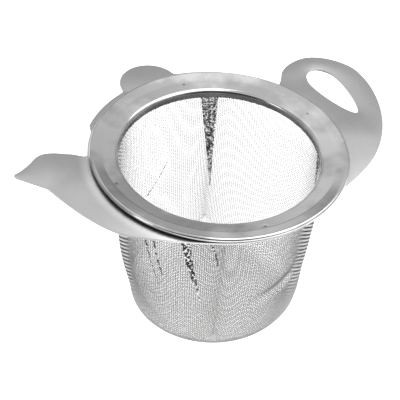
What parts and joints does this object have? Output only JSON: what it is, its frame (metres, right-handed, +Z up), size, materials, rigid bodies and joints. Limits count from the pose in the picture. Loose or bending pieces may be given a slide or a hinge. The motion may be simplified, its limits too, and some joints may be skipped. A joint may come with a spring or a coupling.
{
  "type": "tea strainer",
  "caption": "Teapot-shaped flat steel plate with a finger hole, polished round rim and a deep woven wire-cloth cup; rests on a mug's rim to strain loose tea.",
  "frame": {"origin": "centre of the wire cup's flat base, on its underside", "axes": "+Z up along the cup's axis to the rim, +X to the teapot shape's handle, +Y to its lid knob"},
  "size_m": [0.117, 0.0865, 0.0576],
  "materials": {
    "plate": "satin stainless steel sheet, fine grain, sheared edge",
    "ring": "mirror-polished stainless steel",
    "wire_cloth": "bright plain-woven stainless wire, about 0.2 mm wire at 0.62 mm pitch",
    "weld": "fused steel, slightly heat-tinted"
  },
  "bodies": {
    "root": {"teapot_plate": "plate", "rim_ring": "ring", "mesh_basket": "wire_cloth", "spot_weld_1": "weld", "spot_weld_2": "weld", "spot_weld_3": "weld", "spot_weld_4": "weld"}
  },
  "joints": []
}
